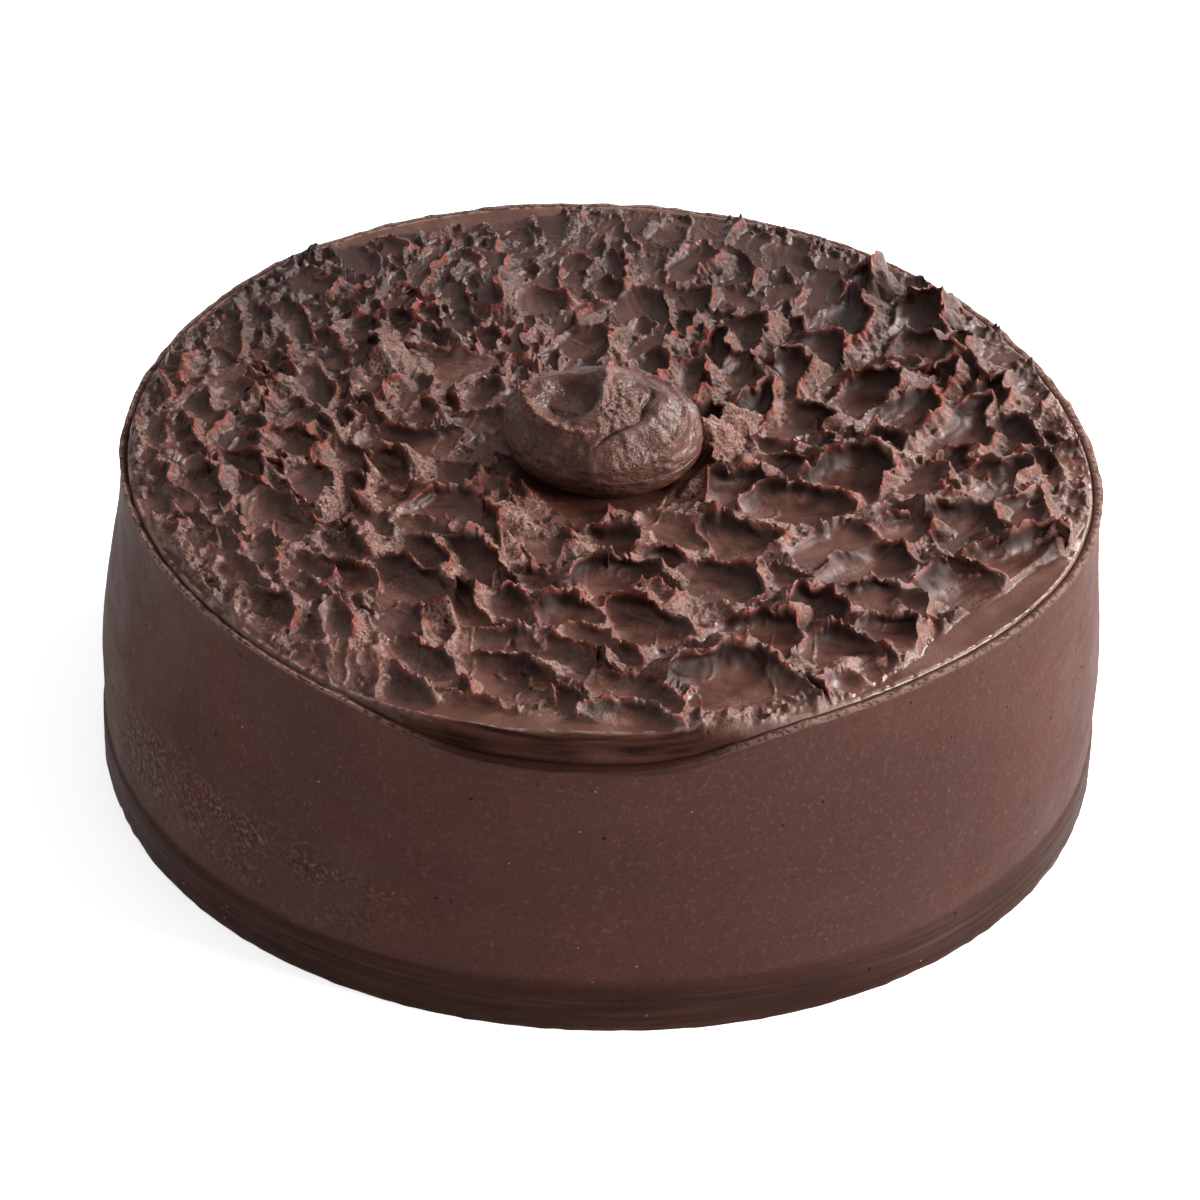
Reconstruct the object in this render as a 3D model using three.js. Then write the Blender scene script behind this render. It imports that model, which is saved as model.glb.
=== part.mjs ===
// A round, tall layer cake, uncut, coated all over with chocolate ganache. Its side is scraped smooth, with a
// thin lip left standing round the top edge and a darker foot at the base. The top is worked with the back of
// a spoon into bowls whose lips stand up in thin crests, and one large dollop with a drawn peak sits in the
// middle. Millimetres, +Z up, origin at the middle of the base, the side facing -Y is the front.
import * as THREE from 'three';

// ---------------------------------------------------------------- driving dimensions
const RIM_RADIUS = 115;        // mean radius of the top edge
const FOOT_RADIUS = 119.1;     // mean radius at the base
const RIM_HEIGHT = 78.6;       // height of the lip round the top
const SPREAD_HEIGHT = 28;      // below this the side is as wide as the foot
const FROSTING_FLOOR = 73;     // underside of the worked top layer
const LIP_THICKNESS = 1.8;     // of the side coat where it stands round the top layer
const LIP_FLARE = 0.25;        // how far the lip leans out
const LIP_SLOPE = 0.35;        // how much lower its inner edge is
const CLEARANCE = 0.3;         // between the lip and the top layer
const FOOT_HEIGHT = 12.5;      // of the tighter band at the base
const FOOT_SWELL = 0.45;       // how far that band stands out
const FOOT_GROOVE = 0.3;       // how far the line above that band is pressed in
const FOOT_TUCK = 0.4;         // how far the very bottom edge is drawn in from the band

const DIP_MIDDLE = -93;        // at the front, in degrees, the rim is lower and the top rolls over it
const DIP_HALF = 27;           // half the stretch that is lowered, in degrees
const DIP = 4.3;               // how much lower its middle is
const DIP_REACH = 14;          // how far down the side it is felt
const ROLL_WIDTH = 2.9;        // of the rounded edge there
const ROLL_RISE = 0.9;         // of the line above that edge over the level behind it

const DOLLOP_PLACE = [-1.0, -4.8];
const DOLLOP_RADIUS = 23;
const DOLLOP_SEAT = 79.8;      // the level the dollop rests on
const DOLLOP_EQUATOR = 86.8;   // the level where it is widest
const DOLLOP_CROWN = 11.6;     // from there to the crown, without the marks
const DOLLOP_TIP = [0.3, 9];   // where it is drawn up to a peak, from its own middle
const DOLLOP_PEAK = 2.0;       // height of that peak
const HOLLOW_DEPTH = 2.9;      // of the spoon's hollow beside the peak
const SEAT_RADIUS = 24;        // of the level place that the dollop stands on
const SEAT_SLOPE = 6;          // how far from there the spoon marks take to reach their full height

const BORDER_DROP = 0.35;      // of the top layer's edge below the lip
const EDGE_RISE = 0.25;        // how far the layer rises behind its edge
const EDGE_WIDTH = 1.2;        // over this width
const SMOOTH_RELIEF = 0.3;     // thickness left on the smooth band
const BAND_WIDTH = 0.8;        // of that band where it is narrowest
const WORKED_SLOPE = 1.5;      // from the band to the full spoon marks
const TRIED_DABS = 760;        // places tried for the dabs of the spoon
const DAB_SPACING = 0.533;     // least distance of two dabs over the sum of their sizes

const SIDE_SEGMENTS = 108;
const TOP_CELLS = 60;          // cells across the worked top, each way
const DOLLOP_SEGMENTS = 52;
const DOLLOP_RINGS = 19;

// The hand-shaped outlines, as [waves round the cake, amplitude, phase in degrees]
const RIM_WAVES = [[2, 0.8, 176], [3, 1.0, 34], [4, 1.1, -47], [5, 0.9, -95]];
const FOOT_WAVES = [[1, 0.3, 0], [2, 0.9, 7], [3, 1.0, -66]];

const degrees = THREE.MathUtils.degToRad;
const smooth = THREE.MathUtils.smoothstep;
const mix = THREE.MathUtils.lerp;

// ---------------------------------------------------------------- outlines
function waved(radius, waves, angle) {
  return waves.reduce((r, [count, amplitude, phase]) =>
    r + amplitude * Math.cos(count * angle - degrees(phase)), radius);
}

// The cake's radius at an angle and a height: the foot's outline below turns into the rim's outline above.
function cakeRadius(angle, z) {
  const rise = smooth(z, SPREAD_HEIGHT, RIM_HEIGHT);
  return mix(waved(FOOT_RADIUS, FOOT_WAVES, angle), waved(RIM_RADIUS, RIM_WAVES, angle), rise);
}

// How far an angle is from a direction given in degrees, from 0 to pi.
function turnFrom(angle, direction) {
  const off = angle - degrees(direction);
  return Math.abs(Math.atan2(Math.sin(off), Math.cos(off)));
}

// How much of the front's dip there is at an angle, from 0 to 1.
function frontDip(angle) {
  return 1 - smooth(turnFrom(angle, DIP_MIDDLE), degrees(0.3 * DIP_HALF), degrees(DIP_HALF));
}

// A bell curve of height 1.
function bell(value, centre, width) {
  return Math.exp(-(((value - centre) / width) ** 2));
}

// ---------------------------------------------------------------- the spooned relief
// A repeatable draw from 0 to 1 for item i, kind k.
function draw(i, k) {
  const v = Math.sin(i * 12.9898 + k * 78.233 + 0.5) * 43758.5453;
  return v - Math.floor(v);
}

// A slow, uneven drift of the plane, from -3 to 3, that keeps the dabs from looking laid out.
function sway(x, y, s) {
  return Math.sin(0.110 * x + 0.071 * y + 1.3 * s) + Math.sin(-0.053 * x + 0.127 * y + 4.1 + 2.2 * s)
    + 0.6 * Math.sin(0.23 * x - 0.19 * y + 0.7 + s) + 0.5 * Math.sin(0.17 * x + 0.29 * y + 2.0 * s);
}

// How the strokes run round the cake: place in degrees, heading, half length, half width, side of the lip
const STROKES = [
  [-180, 95, 7.2, 4.8, 5], [-140, 115, 10.5, 6.0, 28], [-108, 128, 11.5, 6.5, 42], [-85, 172, 12.5, 7.4, 75],
  [-62, 180, 13.5, 8.0, 88], [-25, 212, 12, 7.0, 80], [15, 238, 11, 6.4, 50], [55, 258, 12, 6.2, 15],
  [100, 265, 10.5, 5.8, 0], [138, 268, 5.8, 4.2, 8], [180, 275, 7.2, 4.8, 5],
];

// The largest dabs: x, y, half length, half width, heading, side of the lip, height of the lip, floor
const MAIN_DABS = [
  [44, -24, 13.5, 7.0, -4, 90, 6.0, 0.3],
  [29, -38, 11.5, 7.5, -6, 75, 5.5, 0.0],
  [26, -55, 13, 8.0, 2, 60, 4.5, 0.2],
  [53, -38, 10, 6.5, 25, 80, 4.0, 0.6],
  [11, -72, 10, 6, -25, 70, 5.5, 0.4],
  [34, -76, 11, 7, 6, 85, 6.0, 0.0],
  [8, -98, 13, 7, -20, 75, 4.0, 0.2],
  [-47, -4, 13, 7, 15, 100, 3.5, 0.4],
  [-36, -31, 10, 6, 12, 95, 4.0, 0.4],
  [57, 60, 12, 7, 80, 0, 6.5, 0.0],
  [34, 48, 13, 7, 82, 10, 5.5, 0.2],
  [12, -36, 10, 8, -30, 60, 2.0, 0.6],
  [-22, -96, 12, 9, -40, 60, 5.0, 0.0],
  [-46, 30, 16, 8, 0, 95, 3.0, 0.5],
  [6, 58, 10, 8, 90, 0, 4.0, 0.3],
  [84, 35, 12, 6, 80, 10, 6.5, 0.0],
  [95, 8, 10, 6, 60, 60, 5.5, 0.0],
  [61, 75, 8, 5.5, 60, 25, 8.0, 0.5],
].map(([x, y, length, width, heading, side, lip, floor]) => (
  { x, y, length, width, heading, side, lip, floor }));

// The strokes' rule at a place round the cake, between the two entries beside it.
function strokeAt(place) {
  const after = Math.max(1, STROKES.findIndex(([at]) => at >= place));
  const [before, next] = [STROKES[after - 1], STROKES[after]];
  const share = (place - before[0]) / (next[0] - before[0]);
  return before.slice(1).map((value, k) => mix(value, next[k + 1], share));
}

// The dabs in the order they are made, from the far right to the near left. The lesser ones stand on a
// sunflower spiral, tried in a mixed order and kept where no earlier dab is too near for their sizes.
function spoonDabs() {
  const dabs = [...MAIN_DABS];
  const sizeOf = (dab) => Math.sqrt(dab.length * dab.width);
  const order = Array.from({ length: TRIED_DABS }, (_, item) => item);
  order.sort((a, b) => draw(a, 9) - draw(b, 9));
  for (const item of order) {
    const reach = (RIM_RADIUS - 3) * Math.sqrt((item + 0.5) / TRIED_DABS);
    const turn = item * degrees(137.50776);
    const x = reach * Math.cos(turn) + 3 * (draw(item, 1) - 0.5);
    const y = reach * Math.sin(turn) + 3 * (draw(item, 2) - 0.5);
    const [heading, long, wide, side] = strokeAt(THREE.MathUtils.radToDeg(Math.atan2(y, x)));
    const grown = 0.78 + 0.62 * draw(item, 17) ** 2;
    const length = long * (0.65 + 0.6 * draw(item, 3)) * grown;
    const width = wide * (0.75 + 0.5 * draw(item, 4)) * grown;
    const size = Math.sqrt(length * width);
    const taken = dabs.some((dab, k) => Math.hypot(x - dab.x, y - dab.y)
      < DAB_SPACING * (size + (k < MAIN_DABS.length ? 1.25 : 1) * sizeOf(dab)) + 0.5);
    if (taken) continue;
    dabs.push({
      x, y, length, width,
      heading: heading + 46 * (draw(item, 5) - 0.5),
      side: side + 60 * (draw(item, 6) - 0.5),
      lip: (1.0 + 0.52 * size) * (0.60 + 0.70 * draw(item, 7)) * (1 - 0.65 * smooth(y, 45, 105))
        * (1 - 0.25 * smooth(Math.hypot(x, y), 94, 106)),
      floor: 1.8 * draw(item, 8) ** 2,
    });
  }
  dabs.forEach((dab, k) => {
    dab.item = k;
    dab.turn = 14 * (draw(k, 11) - 0.5) - 0.55 * dab.x - 0.83 * dab.y + (k < MAIN_DABS.length ? 10 : 0);
  });
  return dabs.sort((a, b) => a.turn - b.turn);
}

const DABS = spoonDabs();

// Height of a dab's lip at a bearing from the side where it stands highest. Two horns stand up beside that,
// lower ones at the back and near the rim.
function lipHeight(dab, bearing) {
  const horns = bell(bearing, 0.5 + 0.8 * draw(dab.item, 15), 0.26)
    + bell(bearing, -0.5 - 0.8 * draw(dab.item, 16), 0.26);
  const nearRim = smooth(Math.hypot(dab.x, dab.y), 90, 102);
  const raised = 0.26 * horns * (1 - 0.6 * smooth(dab.y, 50, 80)) * (1 - 0.7 * nearRim);
  const share = 0.12 + 0.80 * ((1 + Math.cos(bearing)) / 2) ** 1.4 + raised;
  return dab.floor + dab.lip * share;
}

// Every dab in turn presses a bowl into what was there, and raises what is beside it to the outer slope of
// its lip.
function spoonedHeight(x, y) {
  const dx = x + 1.1 * sway(x, y, 0);
  const dy = y + 1.1 * sway(y + 40, x - 25, 1);
  let height = 1.5;
  for (const dab of DABS) {
    const reach = 1.9 * Math.max(dab.length, dab.width) + 4;
    if (Math.abs(x - dab.x) > reach || Math.abs(y - dab.y) > reach) continue;
    const px = dx - dab.x;
    const py = dy - dab.y;
    const c = Math.cos(degrees(dab.heading));
    const s = Math.sin(degrees(dab.heading));
    const u = (c * px + s * py) / dab.length;
    const v = (c * py - s * px) / dab.width - 0.16 * u * u + 0.05;
    const turn = Math.atan2(v, u);
    const corners = 1 + 0.10 * Math.cos(3 * turn + 6.3 * draw(dab.item, 13))
      + 0.05 * Math.cos(5 * turn + 6.3 * draw(dab.item, 14));
    const far = Math.hypot(u, v) * corners;
    const off = Math.atan2(py, px) - degrees(dab.side);
    const lip = lipHeight(dab, Math.atan2(Math.sin(off), Math.cos(off)));
    if (far < 1) {
      height = dab.floor + (lip - dab.floor) * far ** 3;
    } else {
      const away = (far - 1) * far / Math.hypot(u / dab.length, v / dab.width);
      const slope = 0.8 + 0.7 * draw(dab.item, 12);
      height = Math.max(height, lip - slope * away - 0.9 * (1 - Math.exp(-away / 0.8)));
    }
  }
  return height;
}

// The smooth band inside the lip is widest at the front, at the front right and at the back left.
function bandWidth(angle) {
  const patch = (middle, half, width) => width * (1 - smooth(turnFrom(angle, middle), 0, degrees(half)));
  return BAND_WIDTH + patch(-98, 24, 9) + patch(-36, 26, 8) + patch(112, 26, 7);
}

// The outline of the top layer, and the width of its rounded edge.
function layerRadius(angle) {
  return waved(RIM_RADIUS, RIM_WAVES, angle) - LIP_THICKNESS - CLEARANCE;
}

function edgeWidth(angle) {
  return EDGE_WIDTH + ROLL_WIDTH * frontDip(angle);
}

// Height of the worked top layer at a point.
function frostingHeight(x, y) {
  const angle = Math.atan2(y, x);
  const inset = layerRadius(angle) - Math.hypot(x, y);
  const band = bandWidth(angle);
  const worked = smooth(inset, band, band + WORKED_SLOPE);
  const away = Math.hypot(x - DOLLOP_PLACE[0], y - DOLLOP_PLACE[1]);
  const open = smooth(away, SEAT_RADIUS, SEAT_RADIUS + SEAT_SLOPE);
  const roll = frontDip(angle);
  const edge = edgeWidth(angle);
  const rounded = 1 - (1 - THREE.MathUtils.clamp(inset / edge, 0, 1)) ** 2;
  const relief = mix(SMOOTH_RELIEF, spoonedHeight(x, y), worked);
  const behind = ROLL_RISE * roll * (rounded - smooth(inset, edge, edge + 16)) + EDGE_RISE * rounded;
  const level = RIM_HEIGHT - BORDER_DROP - DIP * roll * (1 - rounded) + behind + 0.3 * smooth(inset, 3, 8);
  return mix(DOLLOP_SEAT, level + relief * rounded, open);
}

// ---------------------------------------------------------------- closed surfaces
// A mesh from rings of points; each ring is joined to the next, and the first and last close on a middle
// point.
function ringSolid(rings, first, last) {
  const count = rings[0].length;
  const points = [...rings.flat(), first, last];
  const faces = [];
  for (let j = 0; j < rings.length - 1; j++) {
    for (let i = 0; i < count; i++) {
      const a = j * count + i;
      const b = j * count + (i + 1) % count;
      faces.push(a, b, b + count, a, b + count, a + count);
    }
  }
  const top = (rings.length - 1) * count;
  for (let i = 0; i < count; i++) {
    const next = (i + 1) % count;
    faces.push(rings.length * count, next, i);
    faces.push(rings.length * count + 1, top + i, top + next);
  }
  return meshGeometry(points, faces);
}

function meshGeometry(points, faces) {
  const geometry = new THREE.BufferGeometry().setFromPoints(points);
  geometry.setIndex(faces);
  geometry.computeVertexNormals();
  return geometry;
}

// ---------------------------------------------------------------- the cake under its side coat
function cakeBody() {
  const lipTop = RIM_HEIGHT;
  const plain = [0, 1, 2, 3].map((k) => [mix(SPREAD_HEIGHT, lipTop - DIP_REACH, k / 3), 0]);
  // [height, how far inside the outline]
  const profile = [
    [0, FOOT_TUCK - FOOT_SWELL], [1.8, -FOOT_SWELL], [FOOT_HEIGHT - 1.2, -FOOT_SWELL],
    [FOOT_HEIGHT + 0.3, FOOT_GROOVE], [FOOT_HEIGHT + 2, 0], ...plain,
    [lipTop - 9, 0], [lipTop - 4, 0], [lipTop - 0.8, -LIP_FLARE], [lipTop, 0.45],
    [lipTop - 0.1, LIP_THICKNESS / 2], [lipTop - LIP_SLOPE, LIP_THICKNESS],
  ];
  const ring = (height, radiusAt) => Array.from({ length: SIDE_SEGMENTS }, (_, i) => {
    const angle = 2 * Math.PI * i / SIDE_SEGMENTS;
    const lowered = DIP * frontDip(angle) * smooth(height, lipTop - DIP_REACH, lipTop - 1);
    const z = height === FROSTING_FLOOR ? height : height - lowered;
    return new THREE.Vector3(radiusAt(angle) * Math.cos(angle), radiusAt(angle) * Math.sin(angle), z);
  });
  const rings = profile.map(([height, inset]) => ring(height, (angle) => cakeRadius(angle, height) - inset));
  rings.push(ring(FROSTING_FLOOR, (angle) => cakeRadius(angle, lipTop) - LIP_THICKNESS));
  return ringSolid(rings, new THREE.Vector3(0, 0, 0), new THREE.Vector3(0, 0, FROSTING_FLOOR));
}

// ---------------------------------------------------------------- the worked top layer
// A point of the square grid from -1 to 1 as a point of the unit disc, ring for ring, so that cells stay
// even.
function squareToDisc(a, b) {
  if (a === 0 && b === 0) return [0, 0];
  const acrossX = Math.abs(a) > Math.abs(b);
  const reach = acrossX ? a : b;
  const angle = acrossX ? Math.PI / 4 * b / a : Math.PI / 2 - Math.PI / 4 * a / b;
  return [reach * Math.cos(angle), reach * Math.sin(angle)];
}

// Moves a grid point to the crest beside it, where there is one within a third of a cell.
function onCrest(x, y, step) {
  let best = [x, y, frostingHeight(x, y)];
  for (let k = 0; k < 8; k++) {
    const px = x + step * Math.cos(k * Math.PI / 4);
    const py = y + step * Math.sin(k * Math.PI / 4);
    const z = frostingHeight(px, py);
    if (z > best[2]) best = [px, py, z];
  }
  return new THREE.Vector3(...best);
}

function topFrosting() {
  const n = TOP_CELLS;
  const last = n / 2;
  const points = [];
  for (let j = 0; j <= n; j++) {
    for (let i = 0; i <= n; i++) {
      const [ux, uy] = squareToDisc(2 * i / n - 1, 2 * j / n - 1);
      const angle = Math.atan2(uy, ux);
      // rings of cells: the outermost is as wide as the rounded edge, the others share the rest
      const ring = Math.round(Math.hypot(ux, uy) * last);
      const pitch = (layerRadius(angle) - edgeWidth(angle)) / (last - 1);
      const reach = ring === last ? layerRadius(angle) : ring * pitch;
      const x = reach * Math.cos(angle);
      const y = reach * Math.sin(angle);
      const away = Math.hypot(x - DOLLOP_PLACE[0], y - DOLLOP_PLACE[1]);
      const worked = ring < last - 1 && away > SEAT_RADIUS + 2;
      points.push(worked ? onCrest(x, y, pitch / 3) : new THREE.Vector3(x, y, frostingHeight(x, y)));
    }
  }
  const at = (i, j) => j * (n + 1) + i;
  const faces = [];
  for (let j = 0; j < n; j++) {
    for (let i = 0; i < n; i++) {
      faces.push(at(i, j), at(i + 1, j), at(i + 1, j + 1), at(i, j), at(i + 1, j + 1), at(i, j + 1));
    }
  }
  // the border, anticlockwise, then the wall and the flat underside below it
  const border = [];
  for (let i = 0; i < n; i++) border.push(at(i, 0));
  for (let j = 0; j < n; j++) border.push(at(n, j));
  for (let i = n; i > 0; i--) border.push(at(i, n));
  for (let j = n; j > 0; j--) border.push(at(0, j));
  const below = points.length;
  border.forEach((p) => points.push(points[p].clone().setZ(FROSTING_FLOOR)));
  const middle = points.length;
  points.push(new THREE.Vector3(0, 0, FROSTING_FLOOR));
  border.forEach((p, k) => {
    const next = (k + 1) % border.length;
    faces.push(p, below + k, below + next, p, below + next, border[next]);
    faces.push(middle, below + next, below + k);
  });
  return meshGeometry(points, faces);
}

// ---------------------------------------------------------------- the dollop
// The marks on the crown at a point, from the dollop's own middle: a hollow left by the spoon beside the
// peak, with a sharp right edge, a ridge round the hollow, and a fold of skin down the right between a groove
// and a raised edge.
function dollopMarks(x, y) {
  const cut = x + 1.0 - 0.08 * (y + 5);
  const oval = Math.hypot((x + 8.5) / 8.4, (y + 1) / 10.5);
  const hollow = (1 - smooth(oval, 0.62, 1.02)) * (1 - smooth(cut, -1.6, 0.3));
  const bearing = Math.atan2(y - 1.5, x + 4);
  const arc = 13.4 + 1.6 * turnFrom(bearing, 195);
  const onArc = smooth(Math.cos(bearing - degrees(200)), 0.05, 0.5);
  const ridge = bell(Math.hypot(x + 4, y - 1.5), arc, 1.4) * onArc;
  const foldReach = Math.hypot(x, y + 3);
  const right = smooth(Math.cos(Math.atan2(y + 3, x) + degrees(8)), -0.05, 0.35);
  const rim = bell(foldReach, 18.9, 1.2) * right;
  const grooveLine = 10.6 - 0.045 * (y + 1.5) ** 2 + 0.8 * Math.sin(0.5 * y);
  const along = smooth(y, -19, -15) * (1 - smooth(y, 1, 5));
  const groove = bell(x, grooveLine, 0.9) * along;
  const fold = foldReach < 18.9 ? bell(x, grooveLine + 2.6, 2.2) * along : 0;
  const peak = Math.exp(-Math.hypot(x - DOLLOP_TIP[0] - 0.12 * (y - DOLLOP_TIP[1]), y - DOLLOP_TIP[1]) / 2.1);
  const spine = bell(cut, 0.5, 1.1) * smooth(y, -13, -2) * (1 - smooth(y, 8, 11));
  const raised = ridge + 0.8 * rim + 0.7 * fold + 0.9 * spine + DOLLOP_PEAK * peak;
  return raised - 0.9 * groove - HOLLOW_DEPTH * hollow;
}

// A flattened ball, with the marks added along its own slope.
function dollopPoint(angle, share) {
  const start = Math.asin((DOLLOP_SEAT - DOLLOP_EQUATOR) / DOLLOP_CROWN);
  const lift = mix(start, Math.PI / 2, share);
  const reach = DOLLOP_RADIUS * Math.cos(lift) * (1 + 0.03 * Math.cos(2 * angle + 0.6));
  const upper = smooth(Math.sin(lift), 0.05, 0.45);
  const marks = upper * dollopMarks(reach * Math.cos(angle), reach * Math.sin(angle));
  const radius = reach + 0.8 * marks * Math.cos(lift);
  const height = DOLLOP_EQUATOR + DOLLOP_CROWN * Math.sin(lift)
    + marks * Math.sin(0.8 * Math.max(lift, 0) + 0.3);
  const x = DOLLOP_PLACE[0] + radius * Math.cos(angle);
  const y = DOLLOP_PLACE[1] + radius * Math.sin(angle);
  return new THREE.Vector3(x, y, height);
}

function dollop() {
  const tipAngle = Math.atan2(DOLLOP_TIP[1], DOLLOP_TIP[0]);
  const rings = Array.from({ length: DOLLOP_RINGS }, (_, j) =>
    Array.from({ length: DOLLOP_SEGMENTS }, (_, i) =>
      dollopPoint(tipAngle + 2 * Math.PI * i / DOLLOP_SEGMENTS, j / DOLLOP_RINGS)));
  return ringSolid(rings, new THREE.Vector3(...DOLLOP_PLACE, DOLLOP_SEAT), dollopPoint(0, 1));
}

// ---------------------------------------------------------------- the whole cake
function piece(name, geometry, colour, roughness) {
  const material = new THREE.MeshStandardMaterial({ color: colour, roughness, metalness: 0 });
  const mesh = new THREE.Mesh(geometry, material);
  mesh.name = name;
  return mesh;
}

const cake = new THREE.Group();
cake.add(
  piece('cake_body', cakeBody(), 0x553b36, 0.55),
  piece('top_frosting', topFrosting(), 0x4e322c, 0.4),
  piece('dollop', dollop(), 0x4a2f2a, 0.4),
);

export default cake;
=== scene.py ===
"""A tall round chocolate layer cake, uncut, coated in ganache: scraped side, spooned top, one dollop."""
import math

import bpy
import numpy as np
from mathutils import Matrix, Vector


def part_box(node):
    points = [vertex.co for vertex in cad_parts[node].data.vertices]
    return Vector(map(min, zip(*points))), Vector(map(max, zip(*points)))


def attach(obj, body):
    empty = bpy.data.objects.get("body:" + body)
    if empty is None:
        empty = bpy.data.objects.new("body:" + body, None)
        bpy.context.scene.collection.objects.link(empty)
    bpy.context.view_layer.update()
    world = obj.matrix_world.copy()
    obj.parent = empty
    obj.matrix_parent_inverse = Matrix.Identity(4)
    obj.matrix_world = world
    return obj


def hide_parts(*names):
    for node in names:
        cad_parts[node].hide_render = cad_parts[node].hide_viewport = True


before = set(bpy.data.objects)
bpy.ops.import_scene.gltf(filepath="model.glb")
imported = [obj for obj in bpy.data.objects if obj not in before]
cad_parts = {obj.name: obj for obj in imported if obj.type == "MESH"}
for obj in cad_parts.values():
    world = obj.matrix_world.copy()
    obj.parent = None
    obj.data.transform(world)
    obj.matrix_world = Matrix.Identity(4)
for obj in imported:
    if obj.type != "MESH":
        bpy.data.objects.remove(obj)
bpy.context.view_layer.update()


# ======================================================================================================
# The cake's body: sponge layers pressed into a drum and hidden under a coat of dark ganache. The coat is
# drawn round with a scraper, which leaves a faint grain, a few drag lines, a thin lip standing round the
# top edge, and a tighter foot where it ran along the base, painted darker as shade near the floor. Sizes
# are in millimetres.
# ======================================================================================================
MM = 0.001
RIM_RADIUS = 115.0
FOOT_RADIUS = 119.1
RIM_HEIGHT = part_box("cake_body")[1][2] / MM
FROSTING_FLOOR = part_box("top_frosting")[0][2] / MM
RIM_WAVES = [(2, 0.8, 176), (3, 1.0, 34), (4, 1.1, -47), (5, 0.9, -95)]   # waves round, amplitude, phase
FOOT_WAVES = [(1, 0.3, 0), (2, 0.9, 7), (3, 1.0, -66)]
LIP_WIDTH = 1.8
OVER = [(0.30, 0.16), (0.58, 0.18), (0.90, 0.10), (1.30, 0.04), (LIP_WIDTH, -0.02)]   # steps in, rise
OVER_CHIPPED_HIGHLIGHT = (1, 1, 0.5, 0, 0, 0)   # how chipped those steps and the wall below them are, and how much painted highlight they take
FOOT_BAND = 12.5
FOOT_SWELL = 0.45            # how far the band at the foot stands out
FOOT_GROOVE = 0.5            # how far the line above it is pressed in
FOOT_TUCK = 0.4              # how far its very bottom edge is drawn in
FOOT_DRAGS = [(4.2, 0.14, 1, 0.4), (6.6, 0.24, 2, 2.0),      # height, depth, waves round, shift
              (9.0, 0.36, 1, 4.4), (10.9, 0.22, 2, 1.1)]
SPREAD = 28.0                # below this height the side is as wide as the foot
DIP_MIDDLE = math.radians(-93)       # at the front the rim is lower and the top rolls over it
DIP_HALF = math.radians(27)
DIP = 4.3
DIP_REACH = 14.0                     # how far down the side the dip is felt
CRUMBLY_MIDDLE = math.radians(-136)  # low on the front left the coat is crumbly
CRUMBLY_HALF = math.radians(36)
CRUMBLY_HEIGHT = 27.0
FOOT_LINES = math.radians(-72)       # the foot's drag lines are deepest here
SIDE_STEPS = 640
COCOA = (0.0445, 0.0170, 0.0123)
COCOA_WARM = (0.055, 0.0176, 0.0120)
COCOA_CLOUD = (0.0320, 0.0122, 0.0092)
COCOA_FOOT_SHADE = (0.0190, 0.0062, 0.0037)
FOOT_STREAK_PALE = (0.046, 0.0190, 0.0135)
FOOT_STREAK_DARK = (0.0090, 0.0026, 0.0016)
SPECK_PALE = (0.100, 0.048, 0.037)
SPECK_DARK = (0.024, 0.0078, 0.0054)
CRUMBLY_RED = (0.066, 0.0165, 0.0100)
CRUMBLY_PALE = (0.112, 0.060, 0.042)
CRUMBLY_DARK = (0.014, 0.0050, 0.0034)
CHIPPED_LIP_HIGHLIGHT = (0.230, 0.140, 0.115)
ROLLED_RIM_SHADE = (0.024, 0.0078, 0.0050)
PIT_SHADE = (0.013, 0.0042, 0.0028)
LOOSE_CRUMB = (0.150, 0.083, 0.060)
COAT_SHINE = 0.06


def ease(value, low, high):
    """0 below low, 1 above high, and a smooth S-curve between: t squared times (3 minus 2 t)."""
    t = np.clip((value - low) / (high - low), 0, 1)
    return t * t * (3 - 2 * t)


def waved(radius, waves, angle):
    """The mean radius plus a cosine for each wave round the cake."""
    return radius + sum(size * np.cos(count * angle - math.radians(phase)) for count, size, phase in waves)


def cake_radius(angle, z):
    """The outline at a height: the foot's waved circle turns smoothly into the rim's near the top."""
    rise = ease(z, SPREAD, RIM_HEIGHT)
    return (1 - rise) * waved(FOOT_RADIUS, FOOT_WAVES, angle) + rise * waved(RIM_RADIUS, RIM_WAVES, angle)


def turn_from(angle, direction):
    """How far an angle is from a direction, from 0 to pi."""
    return np.abs(np.angle(np.exp(1j * (angle - direction))))


def front_dip(angle):
    """How far the rim is lowered, from 0 to 1: all of it in the middle of the front, none at the sides."""
    return 1 - ease(turn_from(angle, DIP_MIDDLE), 0.3 * DIP_HALF, DIP_HALF)


class Lattice:
    """Smooth noise, nearly always from -1 to 1: random values on a square lattice that repeats every 256
    cells, blended between the four nearest with a quintic curve."""

    def __init__(self, seed):
        self.values = np.random.default_rng(seed).uniform(-1.6, 1.6, (256, 256))

    def __call__(self, x, y, cell, columns=256):
        u, v = x / cell, y / cell
        i, j = np.floor(u).astype(int), np.floor(v).astype(int)
        a, b = u - i, v - j
        a, b = [t * t * t * (t * (6 * t - 15) + 10) for t in (a, b)]
        i, after, j, above = i % columns, (i + 1) % columns, j % 256, (j + 1) % 256
        n = self.values
        near = n[i, j] * (1 - a) + n[after, j] * a
        far = n[i, above] * (1 - a) + n[after, above] * a
        return near * (1 - b) + far * b

    def around(self, angle, z, wide, tall):
        """The same noise on the side of the drum: cells of a width round it and a height, a whole number
        of them, so that the noise meets itself."""
        columns = min(256, round(2 * math.pi * FOOT_RADIUS / wide))
        turn = np.mod(angle / (2 * math.pi), 1) * columns
        return self(turn, z / tall + 0 * turn, 1, columns)


coarse, medium, small = Lattice(1), Lattice(2), Lattice(3)


def bump(value, centre, width):
    """A bell curve of height 1."""
    return np.exp(-((value - centre) / width) ** 2)


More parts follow.
